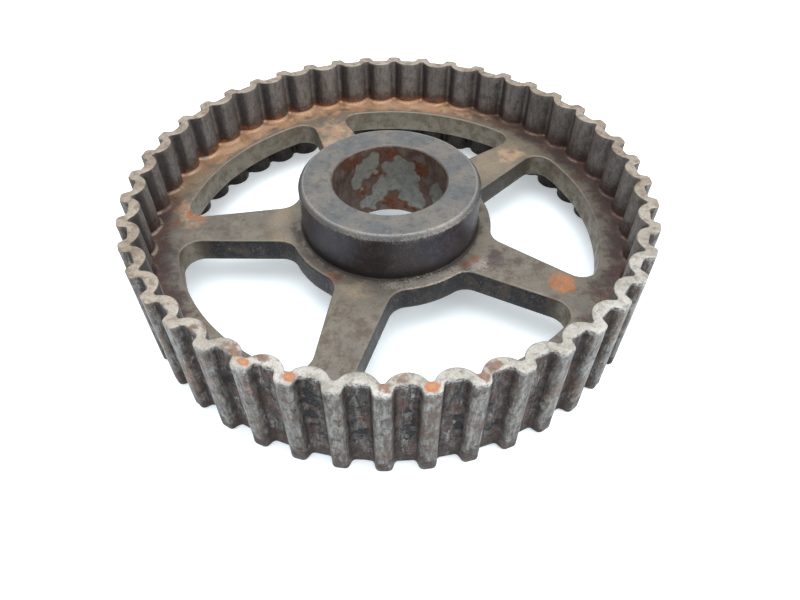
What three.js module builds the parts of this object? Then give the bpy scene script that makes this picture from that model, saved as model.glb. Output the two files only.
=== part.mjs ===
// Timing belt pulley: a toothed rim, a five-spoked web and a hub with a tapered bore.
//
// Units are millimetres. The pulley lies flat with its hub boss upwards: +Z is the axis of rotation, and the
// origin is on that axis at the rim's lower edge. The middle of one tooth land is on +X.

import * as THREE from 'three';

// ---------------------------------------------------------------- driving dimensions

// Belt and teeth. The pitch line is the circle on which the belt's cords run, just outside the lands.
const TOOTH_COUNT = 44;
const BELT_PITCH = 9.525;
const PITCH_LINE_OFFSET = 0.686;
const GROOVE_DEPTH = 2.4;
const LAND_WIDTH = 3.3;
const GROOVE_FLOOR_WIDTH = 4.3;
const LAND_CORNER_RADIUS = 1.1;
const GROOVE_CORNER_RADIUS = 0.9;

// Rim. Its inside repeats the teeth as bulges behind the grooves and sharp hollows behind the lands.
const RIM_WIDTH = 28.7;
const LAND_WALL = 2.8;
const GROOVE_WALL = 2.9;
const HOLLOW_RADIUS = 0.8;
const RIM_END_CHAMFER = 0.4;

// Web, at its depth below the rim's upper edge. A spoke's two widths are at the collar and at the outer ring.
const WEB_DEPTH = 13.45;
const WEB_THICKNESS = 6.5;
const SPOKE_COUNT = 5;
const FIRST_SPOKE_ANGLE = THREE.MathUtils.degToRad(41.5);
const SPOKE_WIDTH_AT_COLLAR = 14.1;
const SPOKE_WIDTH_AT_RING = 9.2;
const COLLAR_RADIUS = 26.9;
const WINDOW_OUTER_RADIUS = 55.0;
const WINDOW_OUTER_FILLET = 4.6;
const WINDOW_INNER_FILLET = 5.0;

// Hub. Its top face is just below the rim's upper edge, and the bore narrows downwards.
const HUB_RADIUS = 23.2;
const HUB_TOP_DEPTH = 0.2;
const HUB_LENGTH = 20.6;
const HUB_TOP_CHAMFER = 1.1;
const HUB_FOOT_CHAMFER = 0.5;
const BORE_TOP_RADIUS = 15.0;
const BORE_FOOT_RADIUS = 12.9;
const BORE_MOUTH_CHAMFER = 0.4;

// Clearance left between two pieces that touch.
const GAP = 0.3;

// Straight pieces that stand for each round stretch of an outline.
const LAND_CORNER_STEPS = 3;
const GROOVE_CORNER_STEPS = 2;
const BULGE_STEPS = 6;
const HOLLOW_STEPS = 2;
const FILLET_STEPS = 4;
const WINDOW_ARC_STEPS = 5;
const ROUND_STEPS = 72;

// ---------------------------------------------------------------- derived dimensions

const TOOTH_ANGLE = (2 * Math.PI) / TOOTH_COUNT;
const SPOKE_ANGLE = (2 * Math.PI) / SPOKE_COUNT;
const LAND_RADIUS = (TOOTH_COUNT * BELT_PITCH) / (2 * Math.PI) - PITCH_LINE_OFFSET;
const GROOVE_FLOOR_RADIUS = LAND_RADIUS - GROOVE_DEPTH;
const HOLLOW_TIP_RADIUS = LAND_RADIUS - LAND_WALL;
const BULGE_TIP_RADIUS = GROOVE_FLOOR_RADIUS - GROOVE_WALL;
const AXIS = new THREE.Vector2(0, 0);

// ---------------------------------------------------------------- outline helpers

/** The point at a radius and an angle from +X. */
function polar(radius, angle) {
  return new THREE.Vector2(radius * Math.cos(angle), radius * Math.sin(angle));
}

/** Points along an arc, both ends included. */
function arcPoints(centre, radius, startAngle, endAngle, steps) {
  const points = [];
  for (let i = 0; i <= steps; i += 1) {
    const angle = THREE.MathUtils.lerp(startAngle, endAngle, i / steps);
    points.push(polar(radius, angle).add(centre));
  }
  return points;
}

/** The arc that rounds a corner between its two neighbours, as points. */
function roundedCorner(before, corner, after, radius, steps) {
  const toBefore = before.clone().sub(corner).normalize();
  const toAfter = after.clone().sub(corner).normalize();
  const halfAngle = Math.acos(toBefore.dot(toAfter)) / 2;
  const inward = toBefore.clone().add(toAfter).normalize();
  const centre = corner.clone().addScaledVector(inward, radius / Math.sin(halfAngle));
  const tangentLength = radius / Math.tan(halfAngle);
  const start = corner.clone().addScaledVector(toBefore, tangentLength).sub(centre).angle();
  const end = corner.clone().addScaledVector(toAfter, tangentLength).sub(centre).angle();
  const sweep = Math.atan2(Math.sin(end - start), Math.cos(end - start));
  return arcPoints(centre, radius, start, start + sweep, steps);
}

/** One point list for the whole rim, from a function that gives one tooth's points at its angle. */
function aroundTheRim(pointsOfTooth) {
  const teeth = Array.from({ length: TOOTH_COUNT }, (_, tooth) => pointsOfTooth(tooth * TOOTH_ANGLE));
  return teeth.flat();
}

// ---------------------------------------------------------------- toothed rim

/** Lands and grooves: each tooth has a flat land, two straight flanks, a flat floor and rounded corners. */
function toothOutline() {
  const landHalfAngle = Math.asin(LAND_WIDTH / 2 / LAND_RADIUS);
  const floorHalfAngle = Math.asin(GROOVE_FLOOR_WIDTH / 2 / GROOVE_FLOOR_RADIUS);
  return aroundTheRim((angle) => {
    const floorAngle = angle + TOOTH_ANGLE / 2;
    const lastFloorEnd = polar(GROOVE_FLOOR_RADIUS, floorAngle - TOOTH_ANGLE + floorHalfAngle);
    const landStart = polar(LAND_RADIUS, angle - landHalfAngle);
    const landEnd = polar(LAND_RADIUS, angle + landHalfAngle);
    const floorStart = polar(GROOVE_FLOOR_RADIUS, floorAngle - floorHalfAngle);
    const floorEnd = polar(GROOVE_FLOOR_RADIUS, floorAngle + floorHalfAngle);
    const nextLandStart = polar(LAND_RADIUS, angle + TOOTH_ANGLE - landHalfAngle);
    return [
      ...roundedCorner(lastFloorEnd, landStart, landEnd, LAND_CORNER_RADIUS, LAND_CORNER_STEPS),
      ...roundedCorner(landStart, landEnd, floorStart, LAND_CORNER_RADIUS, LAND_CORNER_STEPS),
      ...roundedCorner(landEnd, floorStart, floorEnd, GROOVE_CORNER_RADIUS, GROOVE_CORNER_STEPS),
      ...roundedCorner(floorStart, floorEnd, nextLandStart, GROOVE_CORNER_RADIUS, GROOVE_CORNER_STEPS),
    ];
  });
}

/**
 * The rim's inside: a small arc in the hollow behind each land, a large arc on the bulge behind each groove.
 * The bulge's radius is the one that makes the two arcs meet as tangents. An inset draws the same outline
 * that much nearer the axis, for the web that fits inside it.
 */
function corrugationOutline(inset) {
  const halfTooth = TOOTH_ANGLE / 2;
  const hollowCentreRadius = HOLLOW_TIP_RADIUS - HOLLOW_RADIUS;
  const twiceProjection = 2 * hollowCentreRadius * Math.cos(halfTooth);
  const squares = HOLLOW_RADIUS ** 2 - BULGE_TIP_RADIUS ** 2 - hollowCentreRadius ** 2;
  const bulgeRadius =
    (twiceProjection * BULGE_TIP_RADIUS + squares) /
    (2 * BULGE_TIP_RADIUS - twiceProjection - 2 * HOLLOW_RADIUS);
  const bulgeCentreRadius = BULGE_TIP_RADIUS + bulgeRadius;
  const meeting = polar(bulgeCentreRadius, halfTooth).sub(polar(hollowCentreRadius, 0)).angle();
  return aroundTheRim((angle) => {
    const hollowCentre = polar(hollowCentreRadius, angle);
    const bulgeCentre = polar(bulgeCentreRadius, angle + halfTooth);
    const bulgeStart = angle + meeting + Math.PI;
    const bulgeEnd = angle + TOOTH_ANGLE - meeting + Math.PI;
    const hollowRadius = HOLLOW_RADIUS - inset;
    return [
      ...arcPoints(hollowCentre, hollowRadius, angle - meeting, angle + meeting, HOLLOW_STEPS),
      ...arcPoints(bulgeCentre, bulgeRadius + inset, bulgeStart, bulgeEnd, BULGE_STEPS).slice(1, -1),
    ];
  });
}

function rimSteel() {
  return new THREE.MeshStandardMaterial({ color: 0x766d64, roughness: 0.55, metalness: 0.8 });
}

/** The corrugated ring, chamfered along every edge of its two end faces. */
function toothedRim() {
  const outline = new THREE.Shape(toothOutline());
  outline.holes.push(new THREE.Path(corrugationOutline(0)));
  const geometry = new THREE.ExtrudeGeometry(outline, {
    depth: RIM_WIDTH - 2 * RIM_END_CHAMFER,
    bevelThickness: RIM_END_CHAMFER,
    bevelSize: RIM_END_CHAMFER,
    bevelOffset: -RIM_END_CHAMFER,
    bevelSegments: 1,
  });
  const mesh = new THREE.Mesh(geometry, rimSteel());
  mesh.name = 'toothed_rim';
  mesh.position.z = RIM_END_CHAMFER;
  return mesh;
}

// ---------------------------------------------------------------- spoked web

/** The centre of a fillet that touches a straight edge, at a given distance from the axis. */
function filletCentre(edgePoint, edgeDirection, edgeNormal, filletRadius, centreDistance) {
  const base = edgePoint.clone().addScaledVector(edgeNormal, filletRadius);
  const along = base.dot(edgeDirection);
  const reach = Math.sqrt(centreDistance ** 2 - base.lengthSq() + along ** 2) - along;
  return base.addScaledVector(edgeDirection, reach);
}

/**
 * Half of one window, for a spoke that lies along +X: from the middle of its collar arc, round the fillet at
 * the collar, out along the spoke's flank, round the fillet at the ring, to the middle of its ring arc.
 */
function halfWindow() {
  const flankStart = new THREE.Vector2(COLLAR_RADIUS, SPOKE_WIDTH_AT_COLLAR / 2);
  const flankEnd = new THREE.Vector2(WINDOW_OUTER_RADIUS, SPOKE_WIDTH_AT_RING / 2);
  const flank = flankEnd.clone().sub(flankStart).normalize();
  const normal = new THREE.Vector2(-flank.y, flank.x);
  const innerDistance = COLLAR_RADIUS + WINDOW_INNER_FILLET;
  const outerDistance = WINDOW_OUTER_RADIUS - WINDOW_OUTER_FILLET;
  const inner = filletCentre(flankStart, flank, normal, WINDOW_INNER_FILLET, innerDistance);
  const outer = filletCentre(flankStart, flank, normal, WINDOW_OUTER_FILLET, outerDistance);
  const middle = SPOKE_ANGLE / 2;
  const toAxis = inner.angle() + Math.PI;
  const toFlank = normal.angle() + Math.PI;
  return [
    ...arcPoints(AXIS, COLLAR_RADIUS, middle, inner.angle(), WINDOW_ARC_STEPS),
    ...arcPoints(inner, WINDOW_INNER_FILLET, toAxis, toFlank, FILLET_STEPS).slice(1),
    ...arcPoints(outer, WINDOW_OUTER_FILLET, toFlank, outer.angle() + 2 * Math.PI, FILLET_STEPS),
    ...arcPoints(AXIS, WINDOW_OUTER_RADIUS, outer.angle(), middle, WINDOW_ARC_STEPS).slice(1),
  ];
}

/** The window that follows the spoke at the given angle: a half window and its mirror image. */
function windowOutline(spokeAngle) {
  const half = halfWindow();
  const mirrored = half.map((point) => polar(point.length(), SPOKE_ANGLE - point.angle()));
  const whole = [...half, ...mirrored.reverse().slice(1, -1)];
  return whole.map((point) => point.rotateAround(AXIS, spokeAngle));
}

function webSteel() {
  return new THREE.MeshStandardMaterial({ color: 0x6b5b50, roughness: 0.65, metalness: 0.7 });
}

/** The flat disc inside the rim: outer ring, spokes and collar in one, with the hub's hole in the middle. */
function spokedWeb() {
  const outline = new THREE.Shape(corrugationOutline(GAP));
  for (let spoke = 0; spoke < SPOKE_COUNT; spoke += 1) {
    outline.holes.push(new THREE.Path(windowOutline(FIRST_SPOKE_ANGLE + spoke * SPOKE_ANGLE)));
  }
  const hubHole = arcPoints(AXIS, HUB_RADIUS + GAP, 0, 2 * Math.PI, ROUND_STEPS).slice(1);
  outline.holes.push(new THREE.Path(hubHole));
  const geometry = new THREE.ExtrudeGeometry(outline, { depth: WEB_THICKNESS, bevelEnabled: false });
  const mesh = new THREE.Mesh(geometry, webSteel());
  mesh.name = 'spoked_web';
  mesh.position.z = RIM_WIDTH - WEB_DEPTH - WEB_THICKNESS;
  return mesh;
}

// ---------------------------------------------------------------- hub

function hubSteel() {
  return new THREE.MeshStandardMaterial({ color: 0x4a4c50, roughness: 0.45, metalness: 0.9 });
}

/** A turned boss with a bore that tapers from its chamfered mouth down to the foot. */
function hub() {
  const profile = [
    [BORE_FOOT_RADIUS, 0],
    [HUB_RADIUS - HUB_FOOT_CHAMFER, 0],
    [HUB_RADIUS, HUB_FOOT_CHAMFER],
    [HUB_RADIUS, HUB_LENGTH - HUB_TOP_CHAMFER],
    [HUB_RADIUS - HUB_TOP_CHAMFER, HUB_LENGTH],
    [BORE_TOP_RADIUS, HUB_LENGTH],
    [BORE_TOP_RADIUS - BORE_MOUTH_CHAMFER, HUB_LENGTH - BORE_MOUTH_CHAMFER],
    [BORE_FOOT_RADIUS, 0],
  ].map(([radius, height]) => new THREE.Vector2(radius, height));
  const mesh = new THREE.Mesh(new THREE.LatheGeometry(profile, ROUND_STEPS), hubSteel());
  mesh.name = 'hub';
  mesh.rotation.x = Math.PI / 2;
  mesh.position.z = RIM_WIDTH - HUB_TOP_DEPTH - HUB_LENGTH;
  return mesh;
}

// ---------------------------------------------------------------- assembly

const pulley = new THREE.Group();
pulley.name = 'timing_belt_pulley';
pulley.add(toothedRim(), spokedWeb(), hub());

export default pulley;
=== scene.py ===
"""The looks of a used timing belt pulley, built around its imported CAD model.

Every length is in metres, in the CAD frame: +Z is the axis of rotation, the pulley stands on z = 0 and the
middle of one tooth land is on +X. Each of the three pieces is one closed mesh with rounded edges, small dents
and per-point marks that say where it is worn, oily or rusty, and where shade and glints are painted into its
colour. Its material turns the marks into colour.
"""

import math

import bmesh
import bpy
import numpy as np
from mathutils import Matrix, Vector, noise
from mathutils.geometry import delaunay_2d_cdt


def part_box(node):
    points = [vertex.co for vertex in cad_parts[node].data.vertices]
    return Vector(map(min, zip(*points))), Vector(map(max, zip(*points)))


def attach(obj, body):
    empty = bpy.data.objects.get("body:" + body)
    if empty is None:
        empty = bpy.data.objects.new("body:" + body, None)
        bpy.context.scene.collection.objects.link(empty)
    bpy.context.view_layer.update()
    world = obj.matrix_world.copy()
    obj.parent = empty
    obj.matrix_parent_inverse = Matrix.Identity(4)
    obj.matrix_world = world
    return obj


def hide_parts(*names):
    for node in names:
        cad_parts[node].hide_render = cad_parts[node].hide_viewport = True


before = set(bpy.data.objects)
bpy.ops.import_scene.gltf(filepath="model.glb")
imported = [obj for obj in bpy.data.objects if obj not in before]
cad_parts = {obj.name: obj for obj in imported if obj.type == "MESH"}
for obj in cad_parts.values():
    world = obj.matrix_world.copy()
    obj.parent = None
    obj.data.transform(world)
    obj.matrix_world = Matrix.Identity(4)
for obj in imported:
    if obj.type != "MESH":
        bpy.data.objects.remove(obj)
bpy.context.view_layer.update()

# ---------------- sizes

_, rim_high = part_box("toothed_rim")
web_low, web_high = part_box("spoked_web")
hub_low, hub_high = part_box("hub")

MM = 0.001

# Teeth and rim. The land on +X gives the rim's reach.
TOOTH_COUNT = 44
TOOTH_ANGLE = 2 * math.pi / TOOTH_COUNT
LAND_REACH = rim_high.x
LAND_WIDTH = 3.3 * MM
LAND_WALL = 2.78 * MM
LAND_CORNER = 1.1 * MM
GROOVE_DEPTH = 2.38 * MM
GROOVE_WALL = 2.9 * MM
GROOVE_FLOOR_RADIUS = LAND_REACH - GROOVE_DEPTH
GROOVE_FLOOR_WIDTH = 4.3 * MM
GROOVE_CORNER = 0.9 * MM
HOLLOW_TIP_RADIUS = LAND_REACH - LAND_WALL
HOLLOW_RADIUS = 0.8 * MM
SMALLEST_HOLLOW = 0.05 * MM
BULGE_TIP_RADIUS = GROOVE_FLOOR_RADIUS - GROOVE_WALL
MID_WALL_RADIUS = (BULGE_TIP_RADIUS + LAND_REACH) / 2
RIM_TOP_ROUNDING = 0.3 * MM
RIM_FOOT_ROUNDING = 0.65 * MM
RIM_FOOT_INNER_ROUNDING = 0.4 * MM

# Web.
SPOKE_COUNT = 5
SPOKE_ANGLE = 2 * math.pi / SPOKE_COUNT
FIRST_SPOKE_ANGLE = math.radians(41.5)
SPOKE_WIDTH_AT_COLLAR = 14.1 * MM
SPOKE_WIDTH_AT_RING = 9.2 * MM
COLLAR_RADIUS = 26.9 * MM
WINDOW_OUTER_RADIUS = 55.0 * MM
WINDOW_OUTER_FILLET = 4.6 * MM
WINDOW_INNER_FILLET = 5.0 * MM
WINDOW_EDGE_ROUNDING = 0.35 * MM
WEB_POINT_SPACING = 0.9 * MM
SEAM_GAP = 0.02 * MM
SEAM_FILLET = 0.8 * MM
HUB_FOOT_FILLET = 0.5 * MM
# How high a fillet below the web reaches, as a share of the one above it.
LOWER_FILLET_SHARE = 0.7

# Hub.
HUB_RADIUS = hub_high.x
HUB_TOP_CHAMFER = 1.1 * MM
HUB_FOOT_CHAMFER = 0.5 * MM
BORE_TOP_RADIUS = 15.0 * MM
BORE_FOOT_RADIUS = 12.9 * MM
BORE_MOUTH_CHAMFER = 0.4 * MM
HUB_POINT_SPACING = 0.9 * MM

# Steps in each stretch of an outline. Half a tooth has as many points outside as inside.
LAND_STEPS = 2
LAND_CORNER_STEPS = 4
TOOTH_FLANK_STEPS = 2
GROOVE_CORNER_STEPS = 3
GROOVE_FLOOR_STEPS = 3
HOLLOW_STEPS = 3
BULGE_STEPS = 11
COLLAR_STEPS = 16
WINDOW_FILLET_STEPS = 14
SPOKE_FLANK_STEPS = 34
WINDOW_RING_STEPS = 40
HUB_COLUMNS = 240
RIM_WALL_STEPS = 26
RIM_END_STEPS = 6


# ---------------- outlines

def polar(radius, angle):
    """Points at a radius and an angle from +X, either of which may be an array."""
    return np.stack([radius * np.cos(angle), radius * np.sin(angle)], axis=-1)


def turned(points, angle):
    """The same points turned about the axis."""
    return points @ np.array([[math.cos(angle), math.sin(angle)], [-math.sin(angle), math.cos(angle)]])


def arc(centre, radius, start, end, steps):
    """Points along an arc, both ends included."""
    return np.asarray(centre) + polar(radius, np.linspace(start, end, steps + 1))


def direction(vector):
    """The angle of a vector from +X."""
    return math.atan2(vector[1], vector[0])


def radius_of(points):
    """Each point's distance from the axis."""
    return np.hypot(points[:, 0], points[:, 1])


def angle_of(points):
    """Each point's angle from +X."""
    return np.arctan2(points[:, 1], points[:, 0])


def rounded_corner(before, corner, after, radius, steps):
    """The arc that rounds a corner between its two neighbours, as points."""
    to_before = (before - corner) / np.linalg.norm(before - corner)
    to_after = (after - corner) / np.linalg.norm(after - corner)
    half = math.acos(float(to_before @ to_after)) / 2
    inward = (to_before + to_after) / np.linalg.norm(to_before + to_after)
    centre = corner + inward * radius / math.sin(half)
    tangent = radius / math.tan(half)
    start = direction(corner + to_before * tangent - centre)
    sweep = direction(corner + to_after * tangent - centre) - start
    sweep = math.atan2(math.sin(sweep), math.cos(sweep))
    return arc(centre, radius, start, start + sweep, steps)


def between(start, end, steps):
    """The points strictly between two points that cut the line into equal steps."""
    shares = np.linspace(0, 1, steps + 1)[1:-1, None]
    return start + (end - start) * shares


def evenly_between(start, end, spacing):
    """The points strictly between two points, about the given spacing apart."""
    return between(start, end, max(1, round(np.linalg.norm(end - start) / spacing)))


def around(half_tooth_points):
    """A whole ring from half a tooth's points, which run from the land's middle to the groove's middle."""
    radii = radius_of(half_tooth_points)
    angles = angle_of(half_tooth_points)
    radii = np.concatenate([radii, radii[-2:0:-1]])
    angles = np.concatenate([angles, TOOTH_ANGLE - angles[-2:0:-1]])
    return np.concatenate([polar(radii, angles + tooth * TOOTH_ANGLE) for tooth in range(TOOTH_COUNT)])


def tooth_outline():
    """The rim's outside: flat lands, straight flanks and flat groove floors, with rounded corners."""
    half_tooth = TOOTH_ANGLE / 2
    floor_half_angle = math.asin(GROOVE_FLOOR_WIDTH / 2 / GROOVE_FLOOR_RADIUS)
    land_middle = np.array([LAND_REACH, 0.0])
    land_end = np.array([LAND_REACH, LAND_WIDTH / 2])
    floor_start = polar(GROOVE_FLOOR_RADIUS, half_tooth - floor_half_angle)
    floor_middle = polar(GROOVE_FLOOR_RADIUS * math.cos(floor_half_angle), half_tooth)
    land_corner = rounded_corner(land_middle, land_end, floor_start, LAND_CORNER, LAND_CORNER_STEPS)
    groove_corner = rounded_corner(land_end, floor_start, floor_middle, GROOVE_CORNER, GROOVE_CORNER_STEPS)
    return around(np.vstack([
        land_middle,
        between(land_middle, land_corner[0], LAND_STEPS),
        land_corner,
        between(land_corner[-1], groove_corner[0], TOOTH_FLANK_STEPS),
        groove_corner,
        between(groove_corner[-1], floor_middle, GROOVE_FLOOR_STEPS),
        floor_middle,
    ]))


def bulge_radius():
    """The bulge's radius that makes it meet the hollow's arc as a tangent."""
    hollow_centre = HOLLOW_TIP_RADIUS - HOLLOW_RADIUS
    twice_projection = 2 * hollow_centre * math.cos(TOOTH_ANGLE / 2)
    squares = HOLLOW_RADIUS**2 - BULGE_TIP_RADIUS**2 - hollow_centre**2
    return (twice_projection * BULGE_TIP_RADIUS + squares) / (
        2 * BULGE_TIP_RADIUS - twice_projection - 2 * HOLLOW_RADIUS
    )


def corrugation(inset, hollow_steps, bulge_steps):
    """The rim's inside, nearer the axis by inset: a small arc in each hollow, a large one on each bulge."""
    half_tooth = TOOTH_ANGLE / 2
    bulge = bulge_radius() + inset
    bulge_centre = polar(BULGE_TIP_RADIUS + bulge_radius(), half_tooth)
    hollow = max(HOLLOW_RADIUS - inset, SMALLEST_HOLLOW)
    sideways = bulge_centre[1]
    hollow_centre = np.array([bulge_centre[0] - math.sqrt((bulge + hollow) ** 2 - sideways**2), 0.0])
    meeting = direction(bulge_centre - hollow_centre)
    hollow_arc = arc(hollow_centre, hollow, 0, meeting, hollow_steps)
    bulge_arc = arc(bulge_centre, bulge, meeting + math.pi, half_tooth + math.pi, bulge_steps)
    return around(np.vstack([hollow_arc, bulge_arc[1:]]))


def outward_normals(points):
    """Unit normals of a closed outline that runs anticlockwise, pointing out of it."""
    along = np.roll(points, -1, axis=0) - np.roll(points, 1, axis=0)
    normals = np.stack([along[:, 1], -along[:, 0]], axis=1)
    return normals / np.linalg.norm(normals, axis=1, keepdims=True)


def fillet_centre(edge_point, edge_direction, edge_normal, radius, centre_distance):
    """The centre of a fillet that touches a straight edge, at a given distance from the axis."""
    base = edge_point + edge_normal * radius
    along = float(base @ edge_direction)
    reach = math.sqrt(centre_distance**2 - float(base @ base) + along**2) - along
    return base + edge_direction * reach


def window_outline(spoke_angle):
    """The window after the spoke at the given angle, anticlockwise, with points about 0.6 mm apart."""
    flank_start = np.array([COLLAR_RADIUS, SPOKE_WIDTH_AT_COLLAR / 2])
    flank_end = np.array([WINDOW_OUTER_RADIUS, SPOKE_WIDTH_AT_RING / 2])
    flank = (flank_end - flank_start) / np.linalg.norm(flank_end - flank_start)
    normal = np.array([-flank[1], flank[0]])
    inner_distance = COLLAR_RADIUS + WINDOW_INNER_FILLET
    outer_distance = WINDOW_OUTER_RADIUS - WINDOW_OUTER_FILLET
    inner = fillet_centre(flank_start, flank, normal, WINDOW_INNER_FILLET, inner_distance)
    outer = fillet_centre(flank_start, flank, normal, WINDOW_OUTER_FILLET, outer_distance)
    middle = SPOKE_ANGLE / 2
    to_axis = direction(inner) + math.pi
    to_flank = direction(normal) + math.pi
    to_ring = direction(outer) + 2 * math.pi
    inner_fillet = arc(inner, WINDOW_INNER_FILLET, to_axis, to_flank, WINDOW_FILLET_STEPS)
    outer_fillet = arc(outer, WINDOW_OUTER_FILLET, to_flank, to_ring, WINDOW_FILLET_STEPS)
    half = np.vstack([
        arc((0, 0), COLLAR_RADIUS, middle, direction(inner), COLLAR_STEPS)[:-1],
        inner_fillet,
        between(inner_fillet[-1], outer_fillet[0], SPOKE_FLANK_STEPS),
        outer_fillet,
        arc((0, 0), WINDOW_OUTER_RADIUS, direction(outer), middle, WINDOW_RING_STEPS)[1:],
    ])
    mirrored = polar(radius_of(half), SPOKE_ANGLE - angle_of(half))
    whole = np.vstack([half, mirrored[-2:0:-1]])
    return turned(whole, spoke_angle)


def quarter_turn(radius, steps):
    """(inset, rise) pairs from an end face to a wall, round a convex edge or up a concave fillet alike."""
    turns = np.linspace(0, math.pi / 2, steps + 1)
    return [(radius * (1 - math.sin(turn)), radius * (1 - math.cos(turn))) for turn in turns]


# ---------------- meshes and marks

# An edge that turns more than this is drawn as a crease.
SHARP_ANGLE = math.radians(50)


def ring_faces(first, second, count):
    """Quads between two rings of points whose first indices are given."""
    near = np.arange(count)
    far = (near + 1) % count
    return np.stack([first + near, first + far, second + far, second + near], axis=1).tolist()


def level_points(points, level):
    """The same points with one more coordinate, the same for all of them."""
    return np.column_stack([points, np.full(len(points), level)])


def closed_band(levels):
    """Points and quads of a band that joins each level's ring to the next, and the last to the first."""
    count = len(levels[0])
    faces = []
    for level in range(len(levels)):
        faces += ring_faces(level * count, (level + 1) % len(levels) * count, count)
    return np.concatenate(levels), faces


def added(name, data):
    """A new object in the scene."""
    made = bpy.data.objects.new(name, data)
    bpy.context.scene.collection.objects.link(made)
    return made


def make_piece(node, points, faces, marks, material):
    """A mesh object with smooth faces and one float per point for each mark, standing for a CAD node."""
    name = node + "_detailed"
    mesh = bpy.data.meshes.new(name)
    mesh.from_pydata(points.tolist(), [], faces)
    mesh.polygons.foreach_set("use_smooth", [True] * len(mesh.polygons))
    for mark, values in marks.items():
        attribute = mesh.attributes.new(mark, "FLOAT", "POINT")
        attribute.data.foreach_set("value", values.astype(np.float32))
    shape = bmesh.new()
    shape.from_mesh(mesh)
    bmesh.ops.recalc_face_normals(shape, faces=shape.faces)
    shape.to_mesh(mesh)
    shape.free()
    mesh.set_sharp_from_angle(angle=SHARP_ANGLE)
    mesh.materials.append(material)
    piece = added(name, mesh)
    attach(piece, "root")
    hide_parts(node)


def roughness_at(points, size, seed):
    """Smooth noise from -1 to 1 at each point, with features of about the given size."""
    offset = Vector((seed, seed * 1.7, seed * 2.3))
    return np.array([noise.noise(Vector(point) / size + offset) for point in points.tolist()])


def soft_step(values, low, high):
    """0 below low, 1 above high and a smooth rise between them."""
    share = np.clip((values - low) / (high - low), 0, 1)
    return share * share * (3 - 2 * share)


def pressed_in(points, depth, mid_wall_radius):
    """The points moved into a wall: towards the axis outside its middle, and away from the axis inside it."""
    pressed = points.copy()
    radius = radius_of(points)
    towards_axis = np.where(radius > mid_wall_radius, 1, -1)
    pressed[:, :2] -= points[:, :2] / radius[:, None] * (depth * towards_axis)[:, None]
    return pressed


def angle_off(points, degrees):
    """How far round each point lies from a direction given in degrees, from -pi to pi."""
    return np.angle(np.exp(1j * (angle_of(points) - math.radians(degrees))))


def spots(points, places, on_side=False):
    """How deep each point lies in the nearest of some oval spots: 1 at a spot's middle and 0.5 at its edge.

    A place is (radius, angle in degrees, half size outward, half size around), the lengths in millimetres, or
    on a side (height, angle in degrees, half size upward, half size around).
    """
    level = points[:, 2] if on_side else radius_of(points)
    deepest = np.zeros(len(points))
    for middle, angle, half_size, half_round in places:
        off_level = (level - middle * MM) / (half_size * MM)
        radius = radius_of(points) / MM if on_side else middle
        sideways = angle_off(points, angle) * radius / half_round
        deepest = np.maximum(deepest, 1 - 0.5 * np.hypot(off_level, sideways))
    return deepest


def closeness(distance, reach, full):
    """1 nearer than full, 0 beyond reach, and a smooth fall between them."""
    return soft_step(-distance, -reach, -full)


def rusty_side(points):
    """1 on the side of the pulley whose seam is bright with rust, the far left, and 0 elsewhere."""
    leftward = soft_step(-points[:, 0], -0.52 * LAND_REACH, -0.18 * LAND_REACH)
    return leftward * soft_step(points[:, 1], 0.0, 0.4 * LAND_REACH)


# ---------------- toothed rim

# How deep below an end face its look reaches, and the depth at which that look is full.
FACE_REACH = 0.35 * MM
FACE_FULL = 0.05 * MM

# How far the foot's dirt reaches up the outside, and the web's dirt and crusty rust along the inside.
FOOT_DIRT_REACH = 10 * MM
SEAM_DIRT_REACH = 7 * MM
CRUST_REACH = 4 * MM

# Where the painted shade on one flank of each bulge and a groove's dirty corner lie, from the middle of the
# land.
PAINTED_SHADE_FLANK_OFFSET = -1.5 * MM
PAINTED_SHADE_FLANK_WIDTH = 1.1 * MM
DIRTY_CORNER_OFFSET = LAND_WIDTH / 2 + 0.75 * MM
DIRTY_CORNER_WIDTH = 0.55 * MM

# The direction in degrees in which the rim's end face is palest.
PALE_SIDE = 288

# The rim's rust, stains and oil. The function spots says what the numbers are.
RIM_TOP_SPOTS = {
    "spot": [
        (64.5, 278.1, 1.25, 1.55), (64.4, 254.6, 1.1, 1.4), (64.3, 246, 0.8, 1.5),
        (61.3, 49.8, 0.8, 1.2), (59.6, 42.2, 0.9, 1.3), (60.2, 37.7, 0.7, 1),
    ],
    "stain": [
        (64.3, 270, 1.3, 1.6), (62.1, 272.9, 1, 1.4), (62.6, 289.2, 1.6, 2.2),
        (64.3, 286.9, 1.1, 1), (62.4, 245, 1.4, 1.6), (62.9, 242.8, 1.5, 2.2),
        (61.9, 248.9, 1.1, 2.4), (63.7, 233.4, 1.2, 1.2), (61.1, 234.6, 1, 1), (61.5, 151, 1.2, 2),
        (61.8, 126, 1, 1.6),
    ],
}

RIM_SIDE_SPOTS = {
    "side_rust": [
        (17, 266, 0.9, 0.5), (22, 246.5, 1.6, 0.5), (18, 238, 1.4, 0.6), (12, 230, 1.8, 0.5),
    ],
    "side_oil": [
        (23.5, 257.4, 5, 1.5), (16, 257.2, 2.8, 1.2), (12, 266, 1.6, 1.1), (12.5, 274.5, 2.4, 1.3),
        (20, 274, 1.4, 0.8), (14, 283.5, 4, 0.9), (20, 241, 3, 0.8), (9, 291, 2.2, 1.2),
    ],
}


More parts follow.
